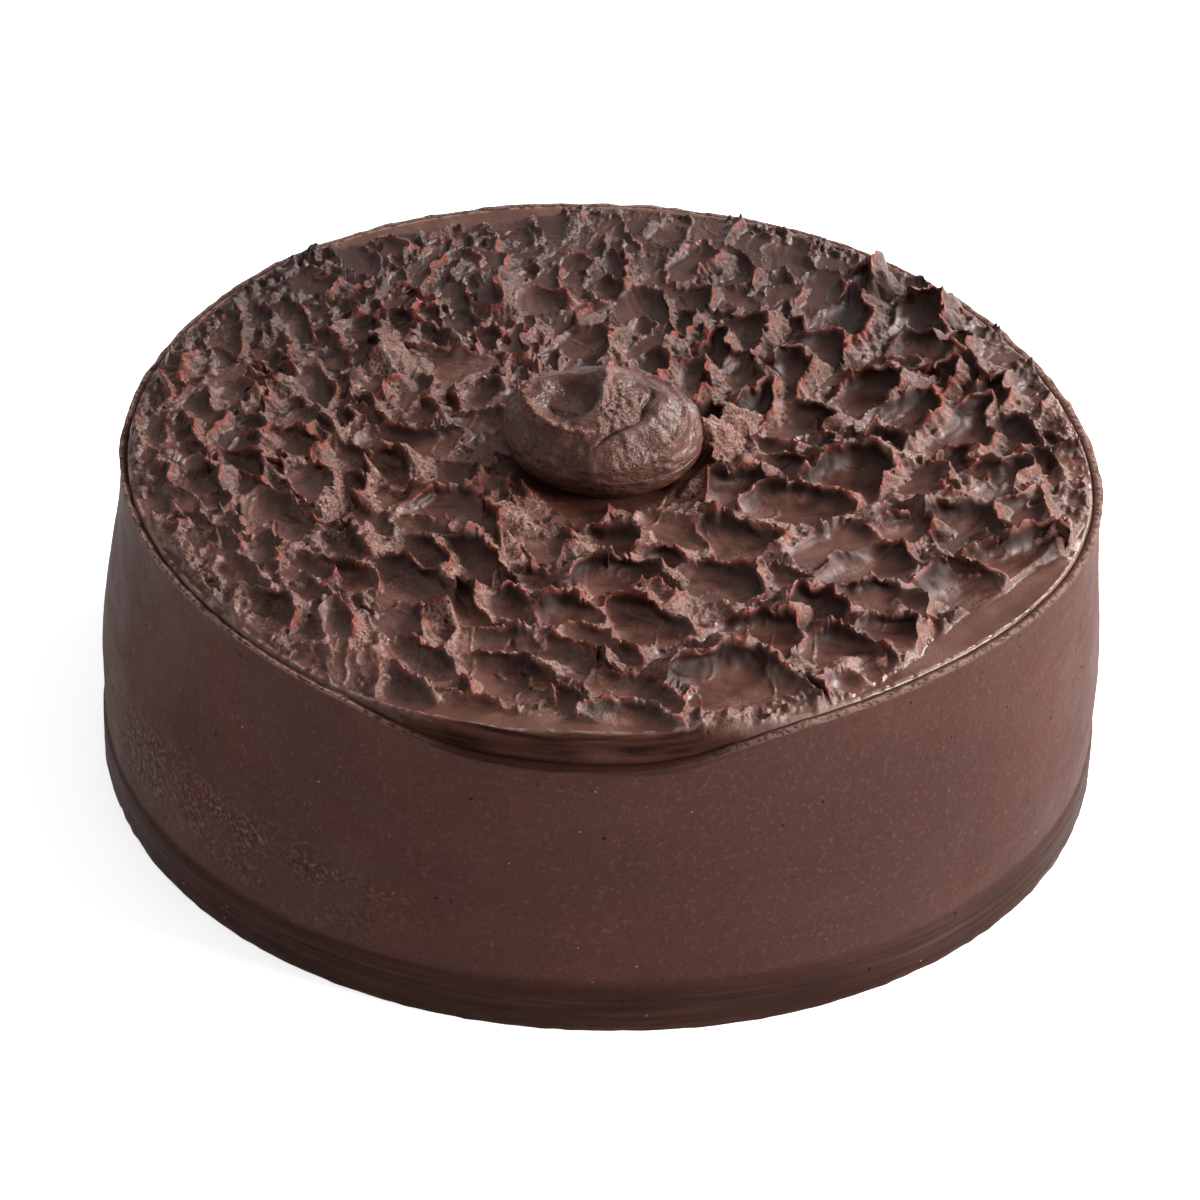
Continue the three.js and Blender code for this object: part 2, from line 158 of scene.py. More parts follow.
def side_surface():
    """Rings of points up the side, over the lip and down its inner wall to the recess, and where the coat
    is a chipped lip with a painted highlight, where it takes painted shade below the rolled-over front, and
    where it is crumbly. Each ring is the outline less an inset, the sum of the foot, the drag lines and the
    grain."""
    foot = [0, 0.25, 0.7, 1.3, 2.0] + list(np.arange(2.4, FOOT_BAND + 2, 0.4))
    side = list(np.arange(FOOT_BAND + 2.2, RIM_HEIGHT - 3.0, 0.95))
    neck = list(np.linspace(RIM_HEIGHT - 3.0, RIM_HEIGHT - 0.4, 9))
    heights = foot + side + neck
    z = np.array(heights)[:, None]
    angle = np.linspace(0, 2 * np.pi, SIDE_STEPS, endpoint=False)[None, :]
    tuck = FOOT_TUCK * (1 - np.clip(z / 1.8, 0, 1)) ** 2
    lines = sum(depth * bump(z + 0.7 * np.sin(angle * waves + shift), level, 0.6)
                for level, depth, waves, shift in FOOT_DRAGS)
    lines = lines * (0.55 + 0.45 * coarse.around(angle, z, 30, 6))
    lines = lines - 0.07 * small.around(angle, z, 26, 0.9) * (1 - ease(z, FOOT_BAND - 2, FOOT_BAND))
    lines = lines * (0.12 + 0.88 * ease(np.cos(angle - FOOT_LINES), 0.3, 0.9))
    crust = 0.10 * medium.around(angle, z, 1.6, 1.2) * (1 - ease(z, 1.5, 5))
    band = FOOT_GROOVE * bump(z, FOOT_BAND + 0.3, 1.1)
    band = band - FOOT_SWELL * (1 - ease(z, FOOT_BAND - 1.5, FOOT_BAND + 2))
    swell = 0.30 * coarse.around(angle, z, 62, 40) + 0.10 * medium.around(angle, z, 24, 15)
    drags = 0.035 * small.around(angle, z, 40, 1.6) * ease(z, FOOT_BAND, FOOT_BAND + 6)
    crumbly = bump(z + 4 * coarse.around(angle, z, 30, 9), CRUMBLY_HEIGHT, 8)
    crumbly = crumbly * (1 - ease(turn_from(angle, CRUMBLY_MIDDLE), 0.2 * CRUMBLY_HALF, CRUMBLY_HALF))
    crumbly = crumbly * ease(medium.around(angle, z, 9, 7), -1.6, -0.2)
    grain = 0.03 * medium.around(angle, z, 3, 2.2)
    inset = tuck + lines + band + swell * ease(z, 3, 12) + drags + grain + crust
    ragged = 0.30 * medium.around(angle, 0 * angle, 6, 1) + 0.22 * small.around(angle, 0 * angle + 9, 3, 1)
    inset = inset - 0.30 * bump(z, RIM_HEIGHT - 0.4, 0.6) * (1 + ragged)
    outer = cake_radius(angle, z) - inset
    rings = [(outer, z + 0 * angle + (z > RIM_HEIGHT - 1.2) * 0.4 * ragged)]
    beyond = np.zeros((len(OVER) + 1, SIDE_STEPS))
    rim = waved(RIM_RADIUS, RIM_WAVES, angle)
    calm = 1 - 0.8 * front_dip(angle)
    rings += [(rim - step + 0.2 * ragged * (step < 1) * calm,
               RIM_HEIGHT + rise * calm + (0.4 * ragged - 0.3) * calm) for step, rise in OVER]
    rings += [(rim - LIP_WIDTH, FROSTING_FLOOR + 0 * angle)]
    radius = np.vstack([r for r, _ in rings])
    height = np.vstack([np.broadcast_to(h, (len(r), SIDE_STEPS)) for r, h in rings])
    height = height - DIP * front_dip(angle) * ease(height, RIM_HEIGHT - DIP_REACH, RIM_HEIGHT - 1)
    height[-1] = FROSTING_FLOOR
    turn = np.broadcast_to(angle, radius.shape)
    # the chipped lip: pale crumbs, partly a painted highlight on the edge, paler towards the left
    lip = np.broadcast_to(z > RIM_HEIGHT - 0.9, outer.shape) * 0.6
    lip = np.vstack([lip, *(np.full((1, SIDE_STEPS), chipped_highlight) for chipped_highlight in OVER_CHIPPED_HIGHLIGHT)])
    lip = lip * calm * (0.68 - 0.12 * np.cos(angle))
    # painted shade on the side just below the lowered front rim and over its lip, where the top rolls over
    below = RIM_HEIGHT - 2.2 + 0.6 * coarse.around(angle, 0 * angle + 5, 24, 1)
    rolled_shade = ease(np.vstack([z + 0 * angle, beyond + RIM_HEIGHT]), below, below + 1.1) * front_dip(angle)
    looks = {"lip": lip, "rolled_shade": rolled_shade, "crumbly": np.vstack([crumbly, beyond])}
    return np.stack([radius * np.cos(turn), radius * np.sin(turn), height], axis=-1), looks


def ring_mesh(name, points, first, last):
    """A closed mesh from rings of points, joined ring to ring and closed on a middle point at each end."""
    rings, steps = points.shape[:2]
    corner = np.arange(rings * steps).reshape(rings, steps)
    beside = np.roll(corner, -1, axis=1)
    quads = np.stack([corner[:-1], beside[:-1], beside[1:], corner[1:]], axis=-1).reshape(-1, 4)
    start, end = rings * steps, rings * steps + 1
    caps = np.vstack([np.stack([np.full(steps, start), beside[0], corner[0]], axis=-1),
                      np.stack([np.full(steps, end), corner[-1], beside[-1]], axis=-1)])
    mesh = bpy.data.meshes.new(name)
    everything = np.vstack([points.reshape(-1, 3), [first, last]]) * MM
    mesh.from_pydata(everything.tolist(), [], quads.tolist() + caps.tolist())
    mesh.polygons.foreach_set("use_smooth", np.ones(len(mesh.polygons), dtype=bool))
    mesh.update()
    return mesh


def new_piece(mesh, body="root"):
    """The mesh as an object at the origin, riding on a body."""
    piece = bpy.data.objects.new(mesh.name, mesh)
    bpy.context.scene.collection.objects.link(piece)
    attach(piece, body)
    return piece


def add_looks(mesh, looks):
    """Each look as a value at every point of the mesh. The points that close the mesh come last and have
    none of it."""
    for label, values in looks.items():
        layer = mesh.attributes.new(label, "FLOAT", "POINT")
        spare = np.zeros(len(mesh.vertices) - values.size)
        layer.data.foreach_set("value", np.append(values, spare).astype(np.float32))


class Finish:
    """A material whose nodes are added by short calls, each of which returns the socket to read."""

    def __init__(self, name, **settings):
        self.material = bpy.data.materials.new(name)
        self.material.use_nodes = True
        self.tree = self.material.node_tree
        self.shader = self.tree.nodes["Principled BSDF"]
        for socket, value in settings.items():
            self.shader.inputs[socket.replace("_", " ")].default_value = value
        self.place = self.node("ShaderNodeTexCoord").outputs["Object"]

    def node(self, kind, **sockets):
        made = self.tree.nodes.new(kind)
        for socket, value in sockets.items():
            self.set(made.inputs[socket.replace("_", " ")], value)
        return made

    def set(self, socket, value):
        if isinstance(value, bpy.types.NodeSocket):
            self.tree.links.new(value, socket)
        else:
            socket.default_value = value

    def attribute(self, name):
        made = self.node("ShaderNodeAttribute")
        made.attribute_name = name
        return made.outputs["Fac"]

    def noise(self, scale, detail=2.0, rough=0.5, stretch=(1, 1, 1)):
        mapped = self.node("ShaderNodeMapping", Vector=self.place, Scale=stretch)
        return self.node("ShaderNodeTexNoise", Vector=mapped.outputs[0], Scale=scale, Detail=detail,
                         Roughness=rough).outputs["Fac"]

    def between(self, value, low, high, start=0.0, end=1.0):
        made = self.node("ShaderNodeMapRange", Value=value)
        made.inputs["From Min"].default_value, made.inputs["From Max"].default_value = low, high
        made.inputs["To Min"].default_value, made.inputs["To Max"].default_value = start, end
        return made.outputs["Result"]

    def sum(self, kind, first, second):
        made = self.node("ShaderNodeMath")
        made.operation = kind
        self.set(made.inputs[0], first)
        self.set(made.inputs[1], second)
        return made.outputs["Value"]

    def blend(self, share, first, second):
        made = self.node("ShaderNodeMix")
        made.data_type = "RGBA"
        for socket, value in (("Factor", share), ("A", first), ("B", second)):
            self.set(made.inputs[socket], value if not isinstance(value, tuple) else (*value, 1.0))
        return made.outputs["Result"]

    def relief(self, height, depth, strength=1.0, below=None):
        made = self.node("ShaderNodeBump", Height=height, Distance=depth, Strength=strength)
        if below is not None:
            self.set(made.inputs["Normal"], below)
        return made.outputs["Normal"]


def side_coat():
    """Dark ganache scraped smooth: clouded and finely speckled, with loose crumbs and pits whose insides
    are painted dark as shade, a crumbly red patch, a streaked foot painted darker as shade near the floor,
    a pale, chipped lip partly painted as a highlight, and painted shade below the rim where the top rolls
    over."""
    coat = Finish("scraped_coat", Specular_IOR_Level=COAT_SHINE)
    blotch = coat.noise(26, 3, 0.6)
    cloud = coat.noise(11, 4, 0.6, (1, 1, 1.7))
    warm = coat.between(blotch, 0.50, 0.72)
    colour = coat.blend(warm, COCOA, COCOA_WARM)
    colour = coat.blend(coat.between(cloud, 0.45, 0.58, 0, 0.55), colour, COCOA_CLOUD)
    speck = coat.noise(900, 3, 0.65)
    colour = coat.blend(coat.between(speck, 0.56, 0.72, 0, 0.45), colour, SPECK_PALE)
    colour = coat.blend(coat.between(speck, 0.44, 0.30, 0, 0.45), colour, SPECK_DARK)
    crumbly = coat.attribute("crumbly")
    red = coat.sum("MULTIPLY", crumbly, coat.between(blotch, 0.40, 0.60))
    colour = coat.blend(red, colour, CRUMBLY_RED)
    fine = coat.noise(820, 4, 0.7)
    pale = coat.sum("MULTIPLY", crumbly, coat.between(fine, 0.53, 0.60))
    dark = coat.sum("MULTIPLY", crumbly, coat.between(fine, 0.48, 0.42))
    colour = coat.blend(pale, colour, CRUMBLY_PALE)
    colour = coat.blend(dark, colour, CRUMBLY_DARK)
    # the foot band, darker towards the bottom: painted shade near the floor; its streaks are drag marks
    height = coat.node("ShaderNodeSeparateXYZ", Vector=coat.place).outputs["Z"]
    foot = coat.between(height, FOOT_BAND * MM * 1.22, FOOT_BAND * MM * 0.84, 0, 0.85)
    colour = coat.blend(foot, colour, COCOA_FOOT_SHADE)
    streak = coat.noise(26, 3, 0.6, (1, 1, 22))
    pale = coat.sum("MULTIPLY", foot, coat.between(streak, 0.54, 0.66, 0, 0.6))
    dark = coat.sum("MULTIPLY", foot, coat.between(streak, 0.46, 0.36, 0, 0.7))
    colour = coat.blend(pale, colour, FOOT_STREAK_PALE)
    colour = coat.blend(dark, colour, FOOT_STREAK_DARK)
    # pale chips on the lip: crumbs, partly a painted highlight on the edge
    lip = coat.attribute("lip")
    crumbs = coat.noise(800, 4, 0.65)
    chipped_highlight = coat.sum("MULTIPLY", lip, coat.between(crumbs, 0.40, 0.54))
    colour = coat.blend(chipped_highlight, colour, CHIPPED_LIP_HIGHLIGHT)
    # painted shade below the rim at the front, where the top rolls over
    colour = coat.blend(coat.attribute("rolled_shade"), colour, ROLLED_RIM_SHADE)
    # pits: a pressed-in bump, and painted shade inside each small hole
    cells = coat.node("ShaderNodeTexVoronoi", Vector=coat.place, Scale=150.0)
    keep = coat.between(coat.noise(180, 0), 0.54, 0.58)
    pit = coat.sum("MULTIPLY", coat.between(cells.outputs["Distance"], 0.08, 0.03), keep)
    colour = coat.blend(pit, colour, PIT_SHADE)
    bits = coat.node("ShaderNodeTexVoronoi", Vector=coat.place, Scale=230.0)
    seldom = coat.between(coat.noise(120, 1), 0.585, 0.60)
    crumb = coat.sum("MULTIPLY", coat.between(bits.outputs["Distance"], 0.09, 0.05), seldom)
    colour = coat.blend(crumb, colour, LOOSE_CRUMB)
    coat.set(coat.shader.inputs["Base Color"], colour)
    coat.set(coat.shader.inputs["Roughness"], coat.between(coat.noise(60, 4, 0.6), 0.3, 0.7, 0.56, 0.72))
    normal = coat.relief(coat.noise(160, 4, 0.6), 0.00025, 0.35)
    normal = coat.relief(speck, 0.00018, 0.6, normal)
    normal = coat.relief(crumbs, 0.0008, lip, normal)
    normal = coat.relief(fine, 0.0010, crumbly, normal)
    coat.set(coat.shader.inputs["Normal"], coat.relief(pit, -0.0006, 1.0, normal))
    return coat.material


side_points, side_looks = side_surface()
body = new_piece(ring_mesh("scraped_cake_body", side_points, (0, 0, 0), (0, 0, FROSTING_FLOOR)))
add_looks(body.data, side_looks)
body.data.materials.append(side_coat())
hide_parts("cake_body")


# ======================================================================================================
# The spooned top: a thick layer of soft ganache, worked with the back of a spoon, made as one surface in
# four quarters. Each dab is a smooth bowl that throws up a thin, ragged lip with a torn outer slope, and
# cuts into the lips before it. A smooth band is left inside the rim, and it rolls over at the front.
# ======================================================================================================
TOP_CELLS = 580
DOLLOP_PLACE = (-1.0, -4.8)
DOLLOP_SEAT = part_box("dollop")[0][2] / MM
SEAT_RADIUS = 20.5           # of the level place under the dollop
SEAT_SLOPE = 6.0             # how far from there the spoon marks take to reach their full height
LIP_GAP = 1.85               # from the outline of the rim to the edge of this layer
BAND_WIDTH = 0.8             # of the smooth band where it is narrowest
SMOOTH_BANDS = [(-98, 24, 9), (-36, 26, 8), (112, 26, 7)]     # middle and half width in degrees, width
ROLL_WIDTH = 2.9             # of the rounded edge at the front
ROLL_RISE = 0.9              # of the line above that edge over the level behind it
ROLLED_FROM = 0.4            # faces with at least this much of the roll's painted shade take the second finish
# place round the cake, heading of the strokes, half length, half width, the side where the lip stands
STROKES = [(-180, 95, 7.2, 4.8, 5), (-140, 115, 10.5, 6.0, 28), (-108, 128, 11.5, 6.5, 42),
           (-85, 172, 12.5, 7.4, 75), (-62, 180, 13.5, 8.0, 88), (-25, 212, 12, 7.0, 80),
           (15, 238, 11, 6.4, 50), (55, 258, 12, 6.2, 15), (100, 265, 10.5, 5.8, 0),
           (138, 268, 5.8, 4.2, 8), (180, 275, 7.2, 4.8, 5)]
# the largest dabs: x, y, half length, half width, heading, lip side, lip height, floor
MAIN_DABS = [(44, -24, 13.5, 7.0, -4, 90, 6.0, 0.3), (29, -38, 11.5, 7.5, -6, 75, 5.5, 0.0),
             (26, -55, 13, 8.0, 2, 60, 4.5, 0.2), (53, -38, 10, 6.5, 25, 80, 4.0, 0.6),
             (11, -72, 10, 6, -25, 70, 5.5, 0.4), (34, -76, 11, 7, 6, 85, 6.0, 0.0),
             (8, -98, 13, 7, -20, 75, 4.0, 0.2), (-47, -4, 13, 7, 15, 100, 3.5, 0.4),
             (-36, -31, 10, 6, 12, 95, 4.0, 0.4), (57, 60, 12, 7, 80, 0, 6.5, 0.0),
             (34, 48, 13, 7, 82, 10, 5.5, 0.2), (12, -36, 10, 8, -30, 60, 2.0, 0.6),
             (-22, -96, 12, 9, -40, 60, 5.0, 0.0), (-46, 30, 16, 8, 0, 95, 3.0, 0.5),
             (6, 58, 10, 8, 90, 0, 4.0, 0.3), (84, 35, 12, 6, 80, 10, 6.5, 0.0),
             (95, 8, 10, 6, 60, 60, 5.5, 0.0), (61, 75, 8, 5.5, 60, 25, 8.0, 0.5)]
TRIED_DABS = 760
DAB_SPACING = 0.533          # least distance of two dabs over the sum of their sizes
MAIN_ROOM = 1.25             # a largest dab counts as this many times its size there
TRIED_NICKS = 1300
NICK_SHARE = 0.15
GOLDEN_ANGLE = math.radians(137.50776)
BOWL_PLAIN = (0.056, 0.0185, 0.0112)
BOWL_LIGHT = (0.128, 0.0500, 0.0350)
TORN_RUDDY = ((0.052, 0.0180, 0.0115), (0.088, 0.0265, 0.0160))
TORN_PLAIN = ((0.074, 0.0290, 0.0190), (0.135, 0.0700, 0.0530))
TORN_SAND = (0.225, 0.116, 0.089)
LOW_PLACE_SHADE = (0.026, 0.0075, 0.0045)
BACK_LEFT_AND_SEAT_SHADE = (0.022, 0.0066, 0.0040)
RECESS_SHADE = (0.020, 0.0068, 0.0042)
PORE_SHADE = (0.014, 0.0046, 0.0030)
THIN_EDGE_GLOW = (0.148, 0.0212, 0.0090)
RAGGED_LINE_HIGHLIGHT = (0.225, 0.140, 0.115)
SHADED_ROLLED_STREAKS = ((0.0105, 0.0034, 0.0022), (0.031, 0.0105, 0.0066))
SPOONED_SHINE = 0.27
ROLLED_SHINE = 0.07


def draw(item, kind):
    """A repeatable number from 0 to 1 for an item: the fraction of a large sine."""
    value = math.sin(item * 12.9898 + kind * 78.233 + 0.5) * 43758.5453
    return value - math.floor(value)


def sway(x, y, shift):
    """A slow drift of the plane, the sum of four crossing sine waves, so that no dab looks laid out."""
    return (np.sin(0.110 * x + 0.071 * y + 1.3 * shift)
            + np.sin(-0.053 * x + 0.127 * y + 4.1 + 2.2 * shift)
            + 0.6 * np.sin(0.23 * x - 0.19 * y + 0.7 + shift)
            + 0.5 * np.sin(0.17 * x + 0.29 * y + 2.0 * shift))


def sunflower(item, count):
    """Point number item of a spiral that fills the top evenly, moved a little by its own draws."""
    reach = (RIM_RADIUS - 3) * math.sqrt((item + 0.5) / count)
    turn = item * GOLDEN_ANGLE
    x = reach * math.cos(turn) + 3 * (draw(item, 1) - 0.5)
    y = reach * math.sin(turn) + 3 * (draw(item, 2) - 0.5)
    return x, y


def too_near(x, y, size, dab):
    """Whether a dab of a size at a place would stand too near to one that is there already."""
    room = (MAIN_ROOM if dab["main"] else 1) * math.sqrt(dab["length"] * dab["width"])
    return math.hypot(x - dab["x"], y - dab["y"]) < DAB_SPACING * (size + room) + 0.5


def spoon_dabs():
    """The dabs in the order they are made, from the far right to the near left. They are tried in a mixed
    order and kept where no earlier dab is too near for their sizes. Small nicks of the spoon's tip come
    between them, anywhere."""
    labels = ("x", "y", "length", "width", "heading", "side", "lip", "floor")
    dabs = [dict(zip(labels, dab), main=1, nick=0) for dab in MAIN_DABS]
    rule = np.array(STROKES, dtype=float)
    for item in sorted(range(TRIED_DABS), key=lambda i: draw(i, 9)):
        x, y = sunflower(item, TRIED_DABS)
        place = math.degrees(math.atan2(y, x))
        heading, length, width, side = [np.interp(place, rule[:, 0], rule[:, k]) for k in (1, 2, 3, 4)]
        grown = 0.78 + 0.62 * draw(item, 17) ** 2
        length *= (0.65 + 0.6 * draw(item, 3)) * grown
        width *= (0.75 + 0.5 * draw(item, 4)) * grown
        size = math.sqrt(length * width)
        if any(too_near(x, y, size, dab) for dab in dabs):
            continue
        lip = (1.0 + 0.52 * size) * (0.60 + 0.70 * draw(item, 7))
        lip *= 1 - 0.65 * float(ease(y, 45, 105))
        lip *= 1 - 0.25 * float(ease(math.hypot(x, y), 94, 106))
        dabs.append(dict(x=x, y=y, length=length, width=width, heading=heading + 46 * (draw(item, 5) - 0.5),
                         side=side + 60 * (draw(item, 6) - 0.5), lip=lip, floor=1.8 * draw(item, 8) ** 2,
                         main=0, nick=0))
    for item in range(TRIED_NICKS):
        if draw(item, 21) < NICK_SHARE:
            x, y = sunflower(item, TRIED_NICKS)
            length, width = 1.8 + 2.4 * draw(item, 22), 1.3 + 1.2 * draw(item, 23)
            dabs.append(dict(x=x, y=y, length=length, width=width, heading=360 * draw(item, 24),
                             side=360 * draw(item, 25), lip=0, floor=0, main=0, nick=1))
    for k, dab in enumerate(dabs):
        dab["item"] = k
        late = 14 * (draw(k, 11) - 0.5) + 10 * dab["main"] + 6 * dab["nick"]
        dab["turn"] = late - 0.55 * dab["x"] - 0.83 * dab["y"]
    return sorted(dabs, key=lambda dab: dab["turn"])


def spooned_relief(x, y):
    """Heights above the layer's level, what the surface is made of at each point, where thin lip edges take
    painted light and where painted shade lies under the lips. Every dab in turn overwrites what is inside
    its oval with a bowl, floor + (lip - floor) times distance cubed, and raises what is outside to its
    lip's outer slope. The lip stands highest on one side and its top is ragged."""
    warp_x = x + 1.1 * sway(x, y, 0) + 0.45 * coarse(x, y, 5) + 0.2 * medium(x, y, 2.3)
    warp_y = y + 1.1 * sway(y + 40, x - 25, 1) + 0.45 * medium(x, y, 5.3) + 0.2 * small(x, y, 2.1)
    height = 1.5 + 0.8 * coarse(x, y, 6) + 0.5 * medium(x, y, 2.5)
    torn, edge, recess_shade, curl, out_x, out_y = np.full(x.shape, 0.7), *(np.zeros(x.shape) for _ in range(5))
    for dab in spoon_dabs():
        k = dab["item"]
        reach = 1.9 * max(dab["length"], dab["width"]) + 4
        rows, columns = np.nonzero((np.abs(x - dab["x"]) < reach) & (np.abs(y - dab["y"]) < reach))
        if not len(rows):
            continue
        window = np.s_[rows.min():rows.max() + 1, columns.min():columns.max() + 1]
        px, py = warp_x[window] - dab["x"], warp_y[window] - dab["y"]
        c, s = math.cos(math.radians(dab["heading"])), math.sin(math.radians(dab["heading"]))
        u = (c * px + s * py) / dab["length"]
        v = (c * py - s * px) / dab["width"] - 0.16 * u * u + 0.05
        turn = np.arctan2(v, u)
        corners = (1 + 0.10 * np.cos(3 * turn + 6.3 * draw(k, 13))
                   + 0.05 * np.cos(5 * turn + 6.3 * draw(k, 14)))
        far = np.sqrt(u * u + v * v) * corners + 1e-6
        outside = (far - 1) * far / np.sqrt((u / dab["length"]) ** 2 + (v / dab["width"]) ** 2 + 1e-9)
        outside = np.where(far < 0.3, -0.5 * dab["width"], outside)
        round_it = np.angle(np.exp(1j * (np.arctan2(py, px) - math.radians(dab["side"]))))
        arc = round_it * math.sqrt(dab["length"] * dab["width"])
        left_horn, right_horn = 0.5 + 0.8 * draw(k, 15), -0.5 - 0.8 * draw(k, 16)
        horns = bump(round_it, left_horn, 0.26) + bump(round_it, right_horn, 0.26)
        horns = horns * (1 - 0.6 * float(ease(dab["y"], 50, 80)))
        horns = horns * (1 - 0.7 * float(ease(math.hypot(dab["x"], dab["y"]), 90, 102)))
        floor, rise = dab["floor"], dab["lip"]
        if dab["nick"]:
            here = height[window].ravel()[np.argmin(px * px + py * py)]
            floor, rise = 0.5 * here, (0.25 + 0.35 * draw(k, 18)) * here + 0.2
        lip = floor + rise * (0.12 + 0.80 * ((1 + np.cos(round_it)) / 2) ** 1.4 + 0.26 * horns)
        ragged = (0.17 * coarse(arc + 31 * k, 7.3 * k + 0 * arc, 7.0)
                  + 0.11 * medium(arc + 17 * k, 3.1 * k + 0 * arc, 3.0)
                  + 0.09 * small(arc + 11 * k, 5.7 * k + 0 * arc, 1.2))
        torn_lip = lip * (1 + ragged)
        reached = np.clip(far, 0, 1)
        inner = floor + (lip - floor) * reached ** 3 + (torn_lip - lip) * reached ** 7
        inner = inner + 0.06 * small(u * dab["length"] / 9 + 13 * k, v * dab["width"] + k, 1.1)
        away = np.clip(outside, 0, None)
        slope = 0.8 + 0.7 * draw(k, 12)
        outer = torn_lip - slope * away - 0.9 * (1 - np.exp(-away / 0.8))
        folds = (0.40 * medium(arc + 5 * k, away * 0.45, 1.5)
                 + 0.36 * small(arc + 3 * k, away * 0.6 + k, 2.9))
        outer = outer + (folds + 0.28 * small(x[window], y[window], 1.2)) * np.clip(away, 0, 1.2)
        folded = ease(-folds, 0.15, 0.5)
        bead = 0.26 + 0.30 * medium(arc + 23 * k, 2.9 * k + 0 * arc, 1.1)
        bead = bead * bump(outside, 0.2, 0.42) * np.clip(torn_lip - 0.8, 0, 1)
        inside = far < 1
        slopes = ~inside & (outer > height[window])
        changed = inside | slopes
        dabbed = np.where(inside, inner, np.where(slopes, outer, height[window]))
        height[window] = dabbed + np.where(changed, bead, 0)
        torn[window] = np.where(inside, 0.45 * ease(far, 0.80, 1.0), np.where(slopes, 1.0, torn[window]))
        blush = 0.9 * coarse(arc + 47 * k, 1.7 * k + 0 * arc, 6.0) + 0.5 * small(arc, k + 0 * arc, 1.6)
        blush = ease(blush, -0.9, 0.5)
        shaded = ease(far, 0.50, 0.80) * (1 - ease(far, 0.90, 0.99))
        # painted shade at the foot of each lip wall, inside the bowl and in the folds outside it
        wall = np.where(inside, shaded, bump(away, 1.2, 0.5) * folded)
        # edge: the thin lip edges, which take painted light shining through
        for field, value in ((edge, bump(outside, 0.15, 0.48) * ease(torn_lip, 1.2, 2.8) * blush),
                             (recess_shade, wall * ease(torn_lip - floor, 1.5, 4.5)),
                             (curl, bump(outside, 0, 1.5) * np.clip(torn_lip - 1.5, 0, 5)),
                             (out_x, np.cos(round_it + math.radians(dab["side"]))),
                             (out_y, np.sin(round_it + math.radians(dab["side"])))):
            field[window] = np.where(changed, value, field[window])
    threads = bump(coarse(x + 60, y, 13) + 0.5 * medium(x, y + 60, 5), 0.1, 0.08)
    threads = threads * (1 - torn)
    return height + 0.28 * threads, np.maximum(torn, 0.4 * threads), edge, recess_shade, curl, out_x, out_y


def disc_grid(cells):
    """A square grid mapped to the unit disc, square ring to round ring, so that its cells stay even."""
    line = np.linspace(-1, 1, cells + 1)
    a, b = np.meshgrid(line, line)
    sideways = np.abs(a) > np.abs(b)
    reach = np.where(sideways, a, b)
    with np.errstate(divide="ignore", invalid="ignore"):
        turn = np.where(sideways, np.pi / 4 * b / a, np.pi / 2 - np.pi / 4 * a / b)
    turn = np.nan_to_num(turn)
    return reach * np.cos(turn), reach * np.sin(turn)


def band_width(angle):
    """How wide the smooth band inside the rim is: narrow, with three wider stretches."""
    width = BAND_WIDTH + 0 * angle
    for middle, half, wide in SMOOTH_BANDS:
        width = width + wide * (1 - ease(turn_from(angle, math.radians(middle)), 0, math.radians(half)))
    return width


